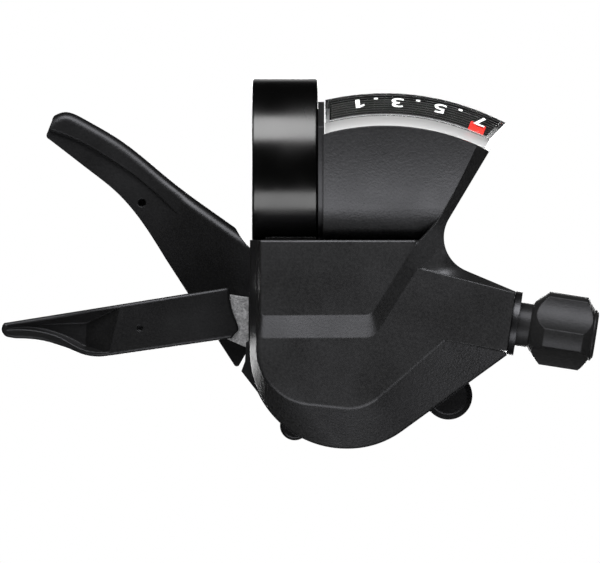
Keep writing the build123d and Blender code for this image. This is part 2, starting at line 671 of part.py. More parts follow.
def make_spool():
    half = 0.75
    spool = turned(AXLE, [
        (AXLE_R + RUN, SPOOL[0]), (FLANGE_R, SPOOL[0]), (FLANGE_R, CABLE_DEPTH - half - 0.5),
        (CABLE_REACH - CABLE_R, CABLE_DEPTH - 0.5), (CABLE_REACH - CABLE_R, CABLE_DEPTH + 0.5),
        (FLANGE_R, CABLE_DEPTH + half + 0.5), (FLANGE_R, SPOOL[1]), (AXLE_R + RUN, SPOOL[1]),
    ])
    turns = [-6 + i * (WIND_DEG + 12) / 12 for i in range(13)]
    points = [follower_path(turn) for turn in turns]
    wide = FOLLOWER_R + 0.3
    groove = trace(Spline(*points), line_width=2 * wide)
    cut = slab(groove, GROOVE_FLOOR, SPOOL[1] + 1)
    for point in (points[0], points[-1]):
        cut += disc(point, wide, GROOVE_FLOOR, SPOOL[1] + 1)
    spool -= cut
    pocket = polar(AXLE, FLANGE_R - 2.1, NIPPLE_DEG)
    spool -= disc(pocket, 1.5, CABLE_DEPTH - 1.3, SPOOL[1] + 1)
    slot = Pos(*polar(AXLE, FLANGE_R - 0.4, NIPPLE_DEG)) * Rot(0, 0, NIPPLE_DEG) * Rectangle(4, 1.4)
    spool -= slab(slot, CABLE_DEPTH - 0.7, SPOOL[1] + 1)
    for deg in DOG_DEGS:
        spool += disc(polar(AXLE, DOG_REACH, deg), DOG_R, RATCHET[0] + 0.1, SPOOL[0])
    return spool


def make_ratchet():
    points = []
    for i in range(TEETH):
        points.append(polar(AXLE, TIP_R, i * STEP_DEG))
        points.append(polar(AXLE, ROOT_R, i * STEP_DEG + 2.5))
    wheel = slab(make_face(Polyline(*points, close=True)), *RATCHET)
    for deg in DOG_DEGS:
        wheel -= disc(polar(AXLE, DOG_REACH, deg), DOG_R + FIT, RATCHET[0] - 1, RATCHET[1] + 1)
    return wheel - disc(AXLE, AXLE_R + RUN, RATCHET[0] - 1, RATCHET[1] + 1)


def make_drive_hub():
    plan = Pos(*AXLE) * Circle(6.5)
    plan += make_hull((Pos(*AXLE) * Circle(5) + Pos(*WIND_PIN) * Circle(1.6)).edges())
    hub = slab(plan, *CARRIER) + disc(AXLE, SLEEVE_R, CAP[1] + 0.2, CARRIER[0])
    for side in (-1, 1):
        x = AXLE[0] + side * 4.3
        hub -= box(x - 1, x + 1, AXLE[1] - 5, AXLE[1] + 5, CAP[1] - 1, MAIN[1])
    hub -= disc(AXLE, AXLE_R + RUN, CAP[1] - 1, CARRIER[1] + 1)
    return hub - disc(WIND_PIN, PAWL_PIN_R, CARRIER[0] - 1, CARRIER[1] + 1)


def make_pawl(pin, nose_deg):
    """Pawl from its pin to a nose that rests just outside the tooth tips."""
    nose = polar(AXLE, TIP_R + NOSE_GAP + 0.5, nose_deg)
    plan = make_hull((Pos(*pin) * Circle(1.55) + Pos(*nose) * Circle(0.5)).edges())
    clear = Pos(*AXLE) * Circle(TIP_R + NOSE_GAP)
    return slab(plan - clear - Pos(*pin) * Circle(PAWL_PIN_R + RUN), *PAWL)


def make_base_plate():
    plan = outline(
        (-3.4, -25.0, 1.5), (0.5, -36.5, 3), (7.5, -41.0, 3), (17.0, -38.2, 3), (26.4, -31.2, 2),
        (26.4, -28.0, 1.5), (11, -13.9, 1.5), (-3.4, -14.3, 1),
    )
    sweep_room = [polar(DIAL, reach, deg) for reach, deg in ((9.2, 56), (9.2, 106), (40, 106), (40, 56))]
    plate = slab(plan - make_face(Polyline(*sweep_room, close=True)), *BASE)
    plate -= disc(AXLE, AXLE_R, BASE[0] - 1, BASE[1] + 1)
    plate -= disc(DIAL, DIAL_PIN_R, BASE[0] - 1, BASE[1] + 1)
    for post in POSTS:
        plate -= disc(post, SCREW_R + FIT, BASE[0] - 1, BASE[1] + 1)
    for spot in FOOT_SCREWS:
        plate -= disc(spot, SCREW_R + FIT, BASE[0] - 1, BASE[1] + 1)
    wide = FOLLOWER_R + 0.35
    degs = (FOLLOWER_DEG - 2, FOLLOWER_DEG + DIAL_SWEEP / 2, FOLLOWER_DEG + DIAL_SWEEP + 2)
    ends = [polar(DIAL, FOLLOWER_REACH, deg) for deg in degs]
    window = trace(ThreePointArc(*ends), line_width=2 * wide)
    plate -= slab(window, BASE[0] - 1, BASE[1] + 1)
    for end in (ends[0], ends[2]):
        plate -= disc(end, wide, BASE[0] - 1, BASE[1] + 1)
    return plate


def make_axle():
    axle = disc(AXLE, AXLE_R, NUT[0] - 0.8, BASE[1])
    return axle + disc(AXLE, AXLE_R + 0.9, BASE[1], BASE[1] + 0.2)


def make_axle_nut():
    nut = slab(Pos(*AXLE) * RegularPolygon(4.6, 6), *NUT)
    return nut - disc(AXLE, AXLE_R, NUT[0] - 1, NUT[1] + 1)


def make_clamp_band():
    band = bar_hole(BAND_R, -BAND_WIDTH / 2, BAND_WIDTH / 2)
    band = fillet(band.edges(), 0.4)
    lugs = box(-BAND_WIDTH / 2, BAND_WIDTH / 2, -LUG_HEIGHT, LUG_HEIGHT, -LUG_REACH, -10)
    lugs = fillet(lugs.edges().filter_by(Axis.X), 1.2)
    band += lugs
    foot = outline((FOOT_X[0], -19.5, 1), (FOOT_X[1], -19.5, 1), (FOOT_X[1], -12), (FOOT_X[0], -12))
    band += slab(foot, *FOOT)
    band -= bar_hole(BAR_R, -BAND_WIDTH, BAND_WIDTH)
    band -= box(-BAND_WIDTH, BAND_WIDTH, -CLAMP_SLIT / 2, CLAMP_SLIT / 2, -LUG_REACH - 1, -8)
    band -= BOLT_PLANE * Cylinder(BOLT_R + FIT, 2 * LUG_HEIGHT + 2)
    for spot in FOOT_SCREWS:
        band -= disc(spot, SCREW_R, FOOT[0] - 1, FOOT[1] + 1)
    return band


BOLT_PLANE = Plane(origin=(0, -BOLT_DEPTH, 0), z_dir=(0, 0, 1))


def make_clamp_bolt():
    shank = BOLT_PLANE * Pos(0, 0, -LUG_HEIGHT) * Cylinder(
        BOLT_R, 2 * LUG_HEIGHT + 3, align=(Align.CENTER, Align.CENTER, Align.MIN)
    )
    head = BOLT_PLANE * Pos(0, 0, -LUG_HEIGHT - 3.6) * Cylinder(
        3.4, 3.6, align=(Align.CENTER, Align.CENTER, Align.MIN)
    )
    head = chamfer(head.edges().group_by(Axis.Z)[0], 0.4)
    socket = BOLT_PLANE * Pos(0, 0, -LUG_HEIGHT - 3.6) * extrude(RegularPolygon(1.75, 6), amount=2.2)
    return shank + head - socket


def make_clamp_nut():
    nut = extrude(RegularPolygon(3.9, 6), amount=2.6) - Cylinder(BOLT_R, 20)
    return BOLT_PLANE * Pos(0, 0, LUG_HEIGHT) * nut


def screw(at, head_back, head_front, head_r, tip, slot_front):
    """Round-head screw along Y with a cross recess in its head."""
    low, high = sorted((head_back, head_front))
    body_part = disc(at, head_r, low, high)
    inner = low if slot_front else high
    body_part += disc(at, SCREW_R, *sorted((inner, tip)))
    face = high if slot_front else low
    depth = -0.8 if slot_front else 0.8
    cross = Pos(*at) * (Rectangle(2.4, 0.5) + Rectangle(0.5, 2.4))
    return body_part - slab(cross, *sorted((face, face + depth)))


def make_case_screws():
    return [screw(post, FLOOR[0], FLOOR[1] - 0.2, HEAD_R, BASE[1] + 2.2, False) for post in POSTS]


def make_clamp_screws():
    return [screw(spot, BASE[1], BASE[1] + 1.1, HEAD_R, FOOT[0], True) for spot in FOOT_SCREWS]


def make_back_plate():
    plan = make_hull((Pos(*AXLE) * Circle(8.6) + Pos(*BIG_BOSS) * Circle(3.0)).edges())
    plate = slab(plan, *BACK_PLATE) - disc(AXLE, BUSH_R + FIT, BACK_PLATE[0] - 1, BACK_PLATE[1] + 1)
    plate -= disc(POSTS[2], HEAD_R + 0.4, BACK_PLATE[0] - 1, BACK_PLATE[1] + 1)
    return plate - disc(BIG_BOSS, SCREW_R + FIT, BACK_PLATE[0] - 1, BACK_PLATE[1] + 1)


def make_release_plate():
    plan = Pos(*AXLE) * Circle(8.4)
    plan += outline((AXLE[0] - 2, -24.0), (-14.5, -20.9, 1), (-14.5, -26.9, 1), (AXLE[0] - 2, -37.0))
    return slab(plan, *RELEASE) - disc(AXLE, BUSH_R + RUN, RELEASE[0] - 1, RELEASE[1] + 1)


def front_edges(part):
    """Edges round the front face of a blade: the face nearest the viewer by its centre."""
    faces = part.faces().filter_by(lambda face: abs(face.normal_at(face.center()).Y) > 0.5)
    return faces.sort_by(Axis.Y)[0].edges()


def side_blade(plan, front, back):
    """Blade with an X-Z plan, bent in depth along X by two edge curves."""
    edges = [Spline(*front), Line(front[-1], back[-1]), Spline(*back), Line(back[0], front[0])]
    plane = Plane(origin=(0, 0, -60), x_dir=(1, 0, 0), z_dir=(0, 0, 1))
    return extrude(plane * make_face(edges), amount=90) & slab(plan, -40, 10)


def tilted(corners, low_edge, start, end):
    """Face on a sloping plane through two (x, depth) points: upper corners and a lower curve."""
    slope = (end[1] - start[1]) / (end[0] - start[0])

    def place(points):
        return [(x, -start[1] - (x - start[0]) * slope, z) for x, z in points]

    return path_face(place(low_edge), place(corners))


def make_scoop():
    """Pocket of the paddle: upper facet, soft right wall and a level floor that runs to the tip."""
    rim_low = [
        (-28.9, -31.2), (-31.6, -31.25), (-34.4, -30.75), (-37.7, -29.0), (-40.4, -28.15), (-46.9, -27.75),
    ]
    wall_low = [
        (-30.6, -31.1), (-32.1, -31.1), (-34.3, -30.5), (-37.6, -28.75), (-40.3, -27.9), (-46.6, -27.55),
    ]
    floor_low = [
        (-33.4, -30.3), (-33.7, -30.2), (-34.2, -29.9), (-37.5, -28.25), (-40.2, -27.45), (-46.1, -27.25),
    ]
    sections = [
        tilted([(-46.6, -26.62), (-26.9, -23.45)], rim_low, *SCOOP_RIM),
        tilted([(-46.4, -26.7), (-28.7, -24.3)], wall_low, *SCOOP_WALL),
        tilted([(-46.0, -26.85), (-33.2, -26.33)], floor_low, *SCOOP_FLOOR),
    ]
    return loft(sections, ruled=True)


def make_release_pad():
    """Finger lever: a bent blade with a scooped paddle at its tip."""
    edges = [
        Line((-47.0, -26.35), (-9.2, -20.3)),
        Spline((-9.2, -20.3), (-8.88, -23.9), (-8.33, -25.55), (-7.83, -26.95), (-7.78, -27.5),
               (-8.2, -28.05), (-8.75, -28.85)),
        Line((-8.75, -28.85), (-29.2, -31.8)),
        Spline((-29.2, -31.8), (-31.6, -31.98), (-33.8, -31.6), (-35.9, -30.75), (-38.35, -29.9),
               (-41.2, -29.2), (-44.6, -28.95), (-46.3, -28.75), tangents=((-20.45, -2.95), (-1.7, 0.3))),
        ThreePointArc((-46.3, -28.75), (-47.45, -27.5), (-47.0, -26.35)),
    ]
    front = [(-7, 2.75), (-16, 2.75), (-27, 3.3), (-31, 4.0), (-36, 5.4), (-42, 6.7), (-48, 7.8)]
    back = [(-7, 6.0), (-16, 6.0), (-26, 6.2), (-29, 6.8), (-32.5, 9.2), (-36, 10.3), (-48, 10.6)]
    pad = side_blade(make_face(edges), front, back)
    root_corners = pad.edges().filter_by(Axis.Y).filter_by(lambda edge: edge.center().X > -15)
    pad = fillet(root_corners, LEVER_CORNER_R)
    pad = fillet(front_edges(pad), LEVER_EDGE_R)
    pad -= make_scoop()
    pad -= RELEASE_PLATE
    return pad - disc(DIMPLE, DIMPLE_R, -DIMPLE_FLOOR, 5)


def long_edges(part):
    """Long edges round the front face of a blade, lowest first."""
    return front_edges(part).filter_by(lambda edge: edge.length > 20).sort_by(Axis.Z)


def make_main_pad():
    """Thumb lever: a bent blade with a proud rib along its upper edge that fades into the web."""
    top = [(-38.6, 8.45), (-36.9, 9.0), (-33.8, 7.9), (-27.6, 4.25), (-18.85, -2.75), (-10.1, -9.15)]
    top_end = (-8.25, -10.45)
    web = [(-4.6, -28.0), (-8.05, -34.1), (-20.1, -15.5)]
    corner = [top_end, (-7.45, -11.9), (-5.4, -14.2)]
    plan = make_face([
        Spline(*top, top_end),
        Spline(*corner),
        *[Line(a, b) for a, b in zip([corner[-1], *web], web)],
        Spline(web[-1], (-23.6, -10.0), (-26.3, -6.5), (-28.9, -3.87), (-32.4, -1.1), (-36.8, 2.3),
               (-39.6, 4.45)),
        ThreePointArc((-39.6, 4.45), (-39.98, 4.85), (-39.95, 5.35)),
        Line((-39.95, 5.35), (-39.05, 7.6)),
        ThreePointArc((-39.05, 7.6), (-38.9, 8.1), top[0]),
    ])
    plan = fillet(plan.vertices().sort_by(Axis.Y)[0], LEVER_EDGE_R)
    long_top = [(-41.0, 6.2), *top, (-2.0, -15.0)]
    long_plan = path_face(long_top, [(-2.0, -36.0), (-8.05, -36.0), (-41.0, 1.0)])
    front = [(-1, 6.7), (-6, 6.8), (-9, 7.7), (-12, 9.2), (-17, 11.6), (-26, 13.6), (-42, 15.5)]
    back = [(-1, 10.6), (-6, 10.7), (-9, 11.4), (-12, 12.8), (-17, 15.0), (-26, 17.2), (-42, 19.6)]
    rib_front = [(-1, 7.1), (-6, 7.2), (-9, 8.1), (-12, 9.6), (-15, 10.95), (-17.5, 11.78), (-19, 11.98),
                 (-21, 12.3), (-23, 12.55), (-26, 12.85), (-32, 13.35), (-42, 14.3)]
    ridge = [(-45, 6.9), (-39.4, 6.0), (-34.6, 4.2), (-29.75, 1.4), (-25.2, -1.7), (-20.8, -5.5),
             (-17, -9.3), (-14, -12.6)]
    above = path_face(ridge, [(0, -12.6), (0, 20), (-45, 20)])
    pad = side_blade(long_plan, front, back)
    pad = fillet(long_edges(pad)[-1], RIB_EDGE_R)
    rib = side_blade(long_plan & above, rib_front, back)
    rib = fillet(long_edges(rib)[-1], RIB_EDGE_R)
    rib = fillet(long_edges(rib)[0], RIDGE_R)
    pad = (pad + rib) & slab(plan, -40, 10)
    pad -= MAIN_PLATE
    return pad - disc(MAIN_HOLE, MAIN_HOLE_R, -MAIN_HOLE_FLOOR, 0)


def make_main_plate():
    plan = Pos(*AXLE) * Circle(8.0)
    plan += outline((AXLE[0] - 3, -23.5), (-6.4, -17.0, 1), (-7.2, -27.0, 1), (AXLE[0] - 3, -38.3))
    bore = (Pos(*AXLE) * Circle(SLEEVE_R + FIT)) & (Pos(*AXLE) * Rectangle(2 * (3.3 + FIT), 12))
    return slab(plan - bore, *MAIN)


RELEASE_PLATE = make_release_plate()
MAIN_PLATE = make_main_plate()

parts = {
    "upper_cover": make_upper_cover(),
    "lower_case": make_lower_case(),
    "display_lens": make_lens(),
    "display_base": make_display_base(),
    "indicator_arm": make_indicator_arm(),
    "indicator_pin": make_indicator_pin(),
    "base_plate": make_base_plate(),
    "main_axle": make_axle(),
    "axle_nut": make_axle_nut(),
    "spring_cap": tube(AXLE, 8.2, AXLE_R + RUN, *CAP),
    "cable_spool": make_spool(),
    "ratchet_wheel": make_ratchet(),
    "drive_hub": make_drive_hub(),
    "winding_pawl": make_pawl(WIND_PIN, WIND_PIN_DEG + 26),
    "winding_pawl_pin": disc(WIND_PIN, PAWL_PIN_R, CARRIER[0], PAWL[1] + 1.5),
    "winding_pawl_spring": coil(WIND_PIN, 1.15, 0.2, 3, PAWL[1] + 0.1, PAWL[1] + 1.4),
    "holding_pawl": make_pawl(HOLD_PIN, 12),
    "holding_pawl_pin": disc(HOLD_PIN, PAWL_PIN_R, FLOOR[0] + 0.4, PAWL[1] + 1.5),
    "holding_pawl_spring": coil(HOLD_PIN, 1.15, 0.2, 3, PAWL[1] + 0.1, PAWL[1] + 1.4),
    "main_lever_plate": MAIN_PLATE,
    "main_lever_pad": make_main_pad(),
    "main_lever_spring": coil(AXLE, 5.4, 0.55, 2.5, CAP[1] + 0.2, MAIN[0] - 0.3),
    "release_lever_plate": RELEASE_PLATE,
    "release_lever_pad": make_release_pad(),
    "release_lever_spring": coil(AXLE, 6.2, 0.35, 2, MAIN[1] + 0.3, RELEASE[0] - 0.3),
    "lever_bush": tube(AXLE, BUSH_R, SLEEVE_R + RUN, MAIN[1] + 0.3, FLOOR[1]),
    "back_plate": make_back_plate(),
    "back_plate_screw": screw(BIG_BOSS, BACK_PLATE[0] - 1.4, BACK_PLATE[0], HEAD_R, -0.6, False),
    "case_screws": Compound(children=make_case_screws()),
    "clamp_screws": Compound(children=make_clamp_screws()),
    "clamp_band": make_clamp_band(),
    "clamp_bolt": make_clamp_bolt(),
    "clamp_nut": make_clamp_nut(),
    "cable_adjuster": make_adjuster(),
    "click_ring": make_click_ring(),
    "adjuster_insert": make_insert(),
    "adjuster_spring": make_adjuster_spring(),
    "cable_port_plug": make_port_plug(),
}

os.makedirs("parts", exist_ok=True)
for name, part in parts.items():
    export_step(part, f"parts/{name}.step")
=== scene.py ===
"""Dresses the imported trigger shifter: finishes for every piece, the printed dial, studio light and camera."""
import json
import math

import bmesh
import bpy
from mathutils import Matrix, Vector

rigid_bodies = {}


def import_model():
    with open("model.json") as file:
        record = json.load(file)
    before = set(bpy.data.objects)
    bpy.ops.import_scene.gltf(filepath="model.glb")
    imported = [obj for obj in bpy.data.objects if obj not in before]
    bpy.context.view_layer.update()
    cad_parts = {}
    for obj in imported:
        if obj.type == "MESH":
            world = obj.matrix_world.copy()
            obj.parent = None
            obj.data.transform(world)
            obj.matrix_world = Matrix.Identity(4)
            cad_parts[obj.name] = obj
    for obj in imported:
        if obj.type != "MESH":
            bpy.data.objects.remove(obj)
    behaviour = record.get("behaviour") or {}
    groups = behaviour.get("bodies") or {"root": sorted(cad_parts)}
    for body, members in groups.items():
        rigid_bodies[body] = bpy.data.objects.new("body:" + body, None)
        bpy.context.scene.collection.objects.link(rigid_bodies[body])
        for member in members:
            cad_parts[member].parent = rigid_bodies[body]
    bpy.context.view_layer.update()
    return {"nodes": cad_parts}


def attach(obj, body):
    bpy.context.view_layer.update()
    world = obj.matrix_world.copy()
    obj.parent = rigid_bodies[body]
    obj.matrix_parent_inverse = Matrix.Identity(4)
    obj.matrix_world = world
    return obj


for default_object in list(bpy.data.objects):
    bpy.data.objects.remove(default_object)

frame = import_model()
nodes = frame["nodes"]

# Lengths are in metres. A colour is red, green, blue and alpha.
MM = 0.001
WHITE = (1, 1, 1, 1)

# The photograph shows 100 mm across its width, centred on this point (x, z) of the row frame.
FRAME_WIDTH = 100 * MM
FRAME_CENTRE = (2.5 * MM, -19.42 * MM)
FRAME_PLANE_Y = -9 * MM
CAMERA_DISTANCE = 4.0
CAMERA_REACH = 20.0
SENSOR = 36.0

# Soft boxes above and below the camera's line, and one behind the object.
# An elevation is in degrees from the camera's line, and over 90 it is on the far side.
LAMP_DISTANCE = 0.9
LAMP_WIDTH = 1.0
LAMPS = {
    "upper_softbox": {"elevation": 51.0, "height": 0.52, "power": 16.0},
    "lower_softbox": {"elevation": -47.5, "height": 0.4, "power": 5.5},
    "rear_softbox": {"elevation": 184.0, "height": 0.5, "power": 14.0},
}

# The room is dim. Gloss and glass see the white background only straight behind the object: it fades in
# as the Y of a ray's direction goes from the first of these values to the second.
AMBIENT = 0.015
BACKDROP_FADE = (0.85, 0.97)

FLOOR_Z = -90 * MM
FLOOR_HALF = 1.2
FLOOR_GREYS = (0.8, 0.84)
FLOOR_MOTTLE = 30 * MM
FLOOR_ROUGHNESS = 0.7
FLOOR_GLOSS = 0.2

# The dial's axis, and the window's face as a cone: radius and depth at its top and at its foot.
DIAL_X = 16.6 * MM
DIAL_Z = -31.35 * MM
CONE_TOP = (39.6 * MM, 20.5 * MM)
CONE_FOOT = (43.3 * MM, 14.7 * MM)

# The print, PRINT_INSIDE under the window's face. Places are degrees clockwise from the dial's top.
PRINT_INSIDE = 0.63 * MM
PRINT_THICK = 0.03 * MM
PRINT_COLOUR = (0.74, 0.74, 0.73, 1)
DIGIT_R = 41.45 * MM
DIGIT_HEIGHT = 2.75 * MM
DIGIT_WIDTH = 1.95 * MM
DIGITS = {"1": -5.75, "3": 2.9, "5": 12.75, "7": 22.35}
DOT_R = 42.1 * MM
DOT_SIZE = (0.66 * MM, 0.5 * MM)
DOTS = (-2.0, 7.55, 17.3)

# The 1 is drawn by its corners, in shares of a digit's width and height. The others come from the font.
NUMERAL_ONE = (
    (-0.02, -0.46), (0.34, -0.46), (0.34, 0.46), (0.04, 0.46), (-0.4, 0.27), (-0.4, 0.1), (-0.02, 0.2)
)
FONT_WEIGHT = 0.012
FONT_STEPS = 6
FONT_THICK = 0.5

# Node details: the colour sockets of a Mix node, the span that noise mostly keeps to, rays per soft edge,
# and the depth of the finest bumps.
MIX_FIRST = 6
MIX_SECOND = 7
MIX_RESULT = 2
NOISE_SPAN = (0.3, 0.7)
BEVEL_RAYS = 4
FINE_DEPTH = 0.02 * MM

# Moulded resin: pits of the grain, flow marks, and the tint of its gloss.
PIT_DETAIL = 3.0
PIT_DEPTH = 0.035 * MM
FLOW_SIZE = 9 * MM
FLOW_ROUGHNESS = 0.05
PLAIN_GLOSS = 0.5
COOL = (0.93, 0.935, 1.0, 1)

# Zinc plating: the haze is HAZE_CRYSTALS crystals across, and crystals and haze share the mottle.
HAZE_CRYSTALS = 2.5
CRYSTAL_SHARE = 0.5
HAZE_SHARE = 0.5
CRYSTAL_ROUGHNESS = 0.1
CRYSTAL_BUMP = 0.25
PLATED_METALLIC = 0.8

# Turned metal: tool lines, squeezed along one axis, and tarnish.
LINE_SIZE = 0.9 * MM
LINE_DETAIL = 4.0
LINE_SQUEEZE = (1, 12, 1)
LINE_SMOOTHER = 0.07
LINE_ROUGHER = 0.1
LINE_BUMP = 0.15
TARNISH_SIZE = 3 * MM

# The dial's turned rings: they show where the wave across them is over RING_CREST.
RING_PITCH = 0.38 * MM
RING_CREST = 0.7
RING_GREYS = (0.001, 0.16)
RING_ROUGHNESS = (0.3, 0.45)
RING_BUMP = 0.3
RING_DEPTH = 0.05 * MM
WEAR_SIZE = 1.5 * MM
DIAL_EDGE = 0.1 * MM
DIAL_GLOSS = 0.12

# The window: clear outside LIP_EDGE_R. From there in to LIP_IN_R the frosted lip goes from its first grey to
# its second, as painted shade: darker at its top edge by the clear part, lighter lower down.
WINDOW_TINT = (0.96, 0.97, 0.97, 1)
WINDOW_SHADOW = (0.93, 0.93, 0.93, 1)
WINDOW_ROUGHNESS = 0.03
WINDOW_IOR = 1.49
WINDOW_EDGE = 0.12 * MM
LIP_IN_R = 37.85 * MM
LIP_EDGE_R = 39.55 * MM
LIP_FADE = 0.12 * MM
LIP_GREYS_WITH_PAINTED_SHADE = (0.3, 0.62)
LIP_ROUGHNESS = 0.3
LIP_TRANSMISSION = 0.5
FROST_SIZE = 1.2 * MM
FROST_BUMP = 0.05

# Ink: a film that is thinner, and so darker, in places.
FILM_SIZE = 0.3 * MM
FILM_THIN = 0.9
FILM_ROUGHNESS = (0.4, 0.55)


def feed(tree, socket, value):
    """Sets a socket, or links it where the value is another node's output."""
    if isinstance(value, bpy.types.NodeSocket):
        tree.links.new(value, socket)
    else:
        socket.default_value = value


def add_node(tree, kind, **sockets):
    """Adds a node and feeds its sockets, each named with _ for a space."""
    node = tree.nodes.new(kind)
    for name, value in sockets.items():
        feed(tree, node.inputs[name.replace("_", " ")], value)
    return node


def maths(tree, operation, *values):
    """One arithmetic node; values are numbers or sockets."""
    node = tree.nodes.new("ShaderNodeMath")
    node.operation = operation
    for socket, value in zip(node.inputs, values):
        feed(tree, socket, value)
    return node.outputs[0]


def ramp(tree, factor, low, high, start=0.0, end=1.0):
    """A number that runs from low to high as factor runs from start to end."""
    node = add_node(
        tree, "ShaderNodeMapRange", Value=factor, From_Min=start, From_Max=end, To_Min=low, To_Max=high
    )
    return node.outputs["Result"]


def grey(level):
    """An opaque grey."""
    return (level, level, level, 1)


def colours(tree, factor, low, high):
    """A colour between low and high, which are colours or sockets."""
    node = tree.nodes.new("ShaderNodeMix")
    node.data_type = "RGBA"
    feed(tree, node.inputs["Factor"], factor)
    feed(tree, node.inputs[MIX_FIRST], low)
    feed(tree, node.inputs[MIX_SECOND], high)
    return node.outputs[MIX_RESULT]


def blend(tree, factor, first, second):
    """A mix of two shaders."""
    node = tree.nodes.new("ShaderNodeMixShader")
    for socket, value in zip(node.inputs, (factor, first.outputs[0], second.outputs[0])):
        feed(tree, socket, value)
    return node


def new_material(name):
    """An empty node material with its output node and the piece's own coordinates in metres."""
    material = bpy.data.materials.new(name)
    material.use_nodes = True
    tree = material.node_tree
    tree.nodes.clear()
    output = tree.nodes.new("ShaderNodeOutputMaterial")
    place = tree.nodes.new("ShaderNodeTexCoord").outputs["Object"]
    return material, tree, output, place


def show(tree, output, shader):
    """Makes a shader the surface."""
    feed(tree, output.inputs["Surface"], shader.outputs[0])


def noise(tree, place, size, detail=2.0):
    """Noise whose blotches are about size metres across."""
    node = add_node(tree, "ShaderNodeTexNoise", Vector=place, Scale=1 / size, Detail=detail)
    return node.outputs["Fac"]


def softened(tree, height, strength, depth, edge):
    """A normal with a bumped surface and edges rounded to the radius given."""
    bevel = add_node(tree, "ShaderNodeBevel", Radius=edge)
    bevel.samples = BEVEL_RAYS
    bump = add_node(
        tree, "ShaderNodeBump", Height=height, Strength=strength, Distance=depth, Normal=bevel.outputs[0]
    )
    return bump.outputs[0]


def moulded_resin(name, greys, roughness, grain, strength, edge, gloss=PLAIN_GLOSS, tint=COOL):
    """Moulded resin or paint: fine grain, faint flow marks and slightly rounded edges."""
    material, tree, output, place = new_material(name)
    pits = noise(tree, place, grain, PIT_DETAIL)
    flow = noise(tree, place, FLOW_SIZE)
    smooth, rough = roughness - FLOW_ROUGHNESS, roughness + FLOW_ROUGHNESS
    shader = add_node(
        tree,
        "ShaderNodeBsdfPrincipled",
        Base_Color=colours(tree, pits, *map(grey, greys)),
        Roughness=ramp(tree, flow, smooth, rough, *NOISE_SPAN),
        Normal=softened(tree, pits, strength, PIT_DEPTH, edge),
        Specular_IOR_Level=gloss,
        Specular_Tint=tint,
    )
    show(tree, output, shader)
    return material


def plated(name, dark, light, roughness, speckle, edge):
    """Zinc-plated sheet: a spangle of small crystals of different brightness."""
    material, tree, output, place = new_material(name)
    cells = add_node(tree, "ShaderNodeTexVoronoi", Vector=place, Scale=1 / speckle)
    crystal = add_node(tree, "ShaderNodeSeparateColor", Color=cells.outputs["Color"]).outputs[0]
    haze = maths(tree, "MULTIPLY", noise(tree, place, HAZE_CRYSTALS * speckle), HAZE_SHARE)
    mottle = maths(tree, "MULTIPLY_ADD", crystal, CRYSTAL_SHARE, haze)
    shader = add_node(
        tree,
        "ShaderNodeBsdfPrincipled",
        Base_Color=colours(tree, mottle, dark, light),
        Roughness=ramp(tree, crystal, roughness - CRYSTAL_ROUGHNESS, roughness + CRYSTAL_ROUGHNESS),
        Normal=softened(tree, mottle, CRYSTAL_BUMP, FINE_DEPTH, edge),
        Metallic=PLATED_METALLIC,
    )
    show(tree, output, shader)
    return material


def turned_metal(name, dark, light, roughness, edge):
    """Turned or drawn metal: fine tool lines and a little tarnish."""
    material, tree, output, place = new_material(name)
    stretch = add_node(tree, "ShaderNodeMapping", Vector=place, Scale=LINE_SQUEEZE)
    lines = noise(tree, stretch.outputs[0], LINE_SIZE, LINE_DETAIL)
    tarnish = noise(tree, place, TARNISH_SIZE)
    smooth, rough = roughness - LINE_SMOOTHER, roughness + LINE_ROUGHER
    shader = add_node(
        tree,
        "ShaderNodeBsdfPrincipled",
        Base_Color=colours(tree, tarnish, dark, light),
        Roughness=ramp(tree, lines, smooth, rough, *NOISE_SPAN),
        Normal=softened(tree, lines, LINE_BUMP, FINE_DEPTH, edge),
        Metallic=1.0,
    )
    show(tree, output, shader)
    return material


def dial_radius(tree, place):
    """Distance of a point from the dial's axis."""
    axes = add_node(tree, "ShaderNodeSeparateXYZ", Vector=place)
    along = maths(tree, "SUBTRACT", axes.outputs["X"], DIAL_X)
    up = maths(tree, "SUBTRACT", axes.outputs["Z"], DIAL_Z)
    squares = maths(tree, "ADD", maths(tree, "POWER", along, 2), maths(tree, "POWER", up, 2))
    return maths(tree, "SQRT", squares)


def dial_finish(name):
    """Black dial with fine rings turned round its axis, worn in places."""
    material, tree, output, place = new_material(name)
    turn = maths(tree, "MULTIPLY", dial_radius(tree, place), 2 * math.pi / RING_PITCH)
    crests = ramp(tree, maths(tree, "SINE", turn), 0, 1, RING_CREST, 1)
    rings = maths(tree, "MULTIPLY", crests, noise(tree, place, WEAR_SIZE))
    shader = add_node(
        tree,
        "ShaderNodeBsdfPrincipled",
        Base_Color=colours(tree, rings, *map(grey, RING_GREYS)),
        Roughness=ramp(tree, rings, *RING_ROUGHNESS),
        Normal=softened(tree, rings, RING_BUMP, RING_DEPTH, DIAL_EDGE),
        Specular_IOR_Level=DIAL_GLOSS,
    )
    show(tree, output, shader)
    return material


